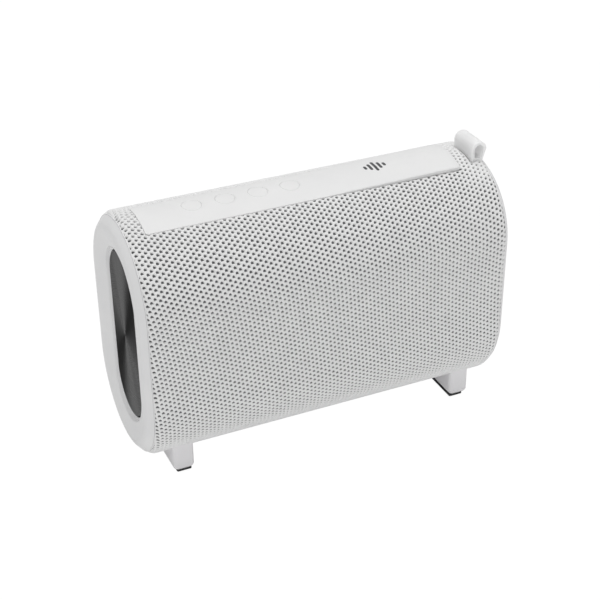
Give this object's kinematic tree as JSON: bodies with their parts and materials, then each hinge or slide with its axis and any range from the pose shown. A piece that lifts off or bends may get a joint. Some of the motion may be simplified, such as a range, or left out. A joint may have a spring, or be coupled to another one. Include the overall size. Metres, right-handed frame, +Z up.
{
  "type": "portable bluetooth speaker",
  "caption": "Pill-section portable speaker on two bar feet: mesh-wrapped body, dark end radiators in white end caps, silicone key strip and strap loop on top.",
  "frame": {"origin": "on the floor, under the middle of the body", "axes": "+X to the right along the length, -Y to the front, +Z up"},
  "size_m": [0.2, 0.081, 0.1408],
  "materials": {
    "white_plastic": "satin moulded plastic, fine grain",
    "knit_fabric": "white polyester mesh knit with staggered holes",
    "silicone": "soft-touch matt white silicone",
    "foot_plastic": "matt white plastic",
    "black_rubber": "matt black rubber",
    "spun_metal": "dark grey anodised, circular spun grain",
    "black_plastic": "matt black ABS",
    "perforated_steel": "grey powder coat, punched",
    "steel": "zinc-plated",
    "basket_metal": "black-coated pressed steel",
    "ferrite": "sintered ferrite",
    "paper_cone": "pressed pulp, dark",
    "copper_wire": "enamelled copper",
    "spider_cloth": "resin-treated cloth",
    "circuit_board": "green solder mask over glass epoxy",
    "chip": "moulded epoxy",
    "battery_wrap": "blue shrink sleeve",
    "light_pipe": "frosted",
    "ribbon_cable": "PVC insulation"
  },
  "bodies": {
    "cabinet": {"front_shell": "black_plastic", "rear_shell": "black_plastic", "left_end_frame": "black_plastic", "right_end_frame": "black_plastic", "end_seals": "black_rubber", "left_end_cap": "white_plastic", "right_end_cap": "white_plastic", "front_grille": "perforated_steel", "fabric_wrap": "knit_fabric", "control_tray": "black_plastic", "control_strip": "silicone", "button_board": "circuit_board", "dome_switches": "steel", "strap_loop": "silicone", "strap_pin": "steel", "left_foot": "foot_plastic", "right_foot": "foot_plastic", "left_foot_pad": "black_rubber", "right_foot_pad": "black_rubber", "left_driver_basket": "basket_metal", "right_driver_basket": "basket_metal", "driver_gaskets": "black_rubber", "left_driver_magnet": "ferrite", "right_driver_magnet": "ferrite", "left_driver_yoke": "steel", "right_driver_yoke": "steel", "driver_top_plates": "steel", "left_driver_surround": "black_rubber", "right_driver_surround": "black_rubber", "left_driver_spider": "spider_cloth", "right_driver_spider": "spider_cloth", "left_radiator_surround": "black_rubber", "right_radiator_surround": "black_rubber", "battery_cells": "battery_wrap", "battery_tray": "black_plastic", "main_board": "circuit_board", "bluetooth_module": "steel", "amplifier_chip": "chip", "port_panel": "white_plastic", "usb_c_socket": "steel", "aux_jack": "black_plastic", "port_board": "circuit_board", "status_light": "light_pipe", "housing_screws": "steel", "frame_and_foot_screws": "steel", "driver_and_board_screws": "steel", "wiring": "ribbon_cable"},
    "power_key": {"power_button": "silicone"},
    "volume_down_key": {"volume_down_button": "silicone"},
    "play_key": {"play_button": "silicone"},
    "volume_up_key": {"volume_up_button": "silicone"},
    "left_radiator": {"left_radiator_plate": "spun_metal", "left_radiator_weight": "steel"},
    "right_radiator": {"right_radiator_plate": "spun_metal", "right_radiator_weight": "steel"},
    "left_diaphragm": {"left_driver_cone": "paper_cone", "left_voice_coil": "copper_wire"},
    "right_diaphragm": {"right_driver_cone": "paper_cone", "right_voice_coil": "copper_wire"},
    "port_door": {"port_cover": "silicone"}
  },
  "joints": [
    {"name": "power_key_press", "type": "slide", "parent": "cabinet", "child": "power_key", "axis": [0, 0.061, -0.9981], "range_m": [0, 0.0005], "stiffness_N_per_m": 1500, "springref_m": -0.0003},
    {"name": "volume_down_key_press", "type": "slide", "parent": "cabinet", "child": "volume_down_key", "axis": [0, 0.061, -0.9981], "range_m": [0, 0.0005], "stiffness_N_per_m": 1500, "springref_m": -0.0003},
    {"name": "play_key_press", "type": "slide", "parent": "cabinet", "child": "play_key", "axis": [0, 0.061, -0.9981], "range_m": [0, 0.0005], "stiffness_N_per_m": 1500, "springref_m": -0.0003},
    {"name": "volume_up_key_press", "type": "slide", "parent": "cabinet", "child": "volume_up_key", "axis": [0, 0.061, -0.9981], "range_m": [0, 0.0005], "stiffness_N_per_m": 1500, "springref_m": -0.0003},
    {"name": "left_radiator_stroke", "type": "slide", "parent": "cabinet", "child": "left_radiator", "axis": [-1, 0, 0], "range_m": [-0.0012, 0.0012], "stiffness_N_per_m": 4000, "deforming": ["left_radiator_surround"]},
    {"name": "right_radiator_stroke", "type": "slide", "parent": "cabinet", "child": "right_radiator", "axis": [1, 0, 0], "range_m": [-0.0012, 0.0012], "stiffness_N_per_m": 4000, "deforming": ["right_radiator_surround"]},
    {"name": "left_cone_stroke", "type": "slide", "parent": "cabinet", "child": "left_diaphragm", "axis": [0, -1, 0], "range_m": [-0.0012, 0.0012], "stiffness_N_per_m": 3000, "deforming": ["left_driver_surround", "left_driver_spider"]},
    {"name": "right_cone_stroke", "type": "slide", "parent": "cabinet", "child": "right_diaphragm", "axis": [0, -1, 0], "range_m": [-0.0012, 0.0012], "stiffness_N_per_m": 3000, "deforming": ["right_driver_surround", "right_driver_spider"]},
    {"name": "port_cover_hinge", "type": "hinge", "parent": "cabinet", "child": "port_door", "pos_m": [0, 0.03945, 0.05375], "axis": [-1, 0, 0], "range_deg": [0, 100]}
  ]
}
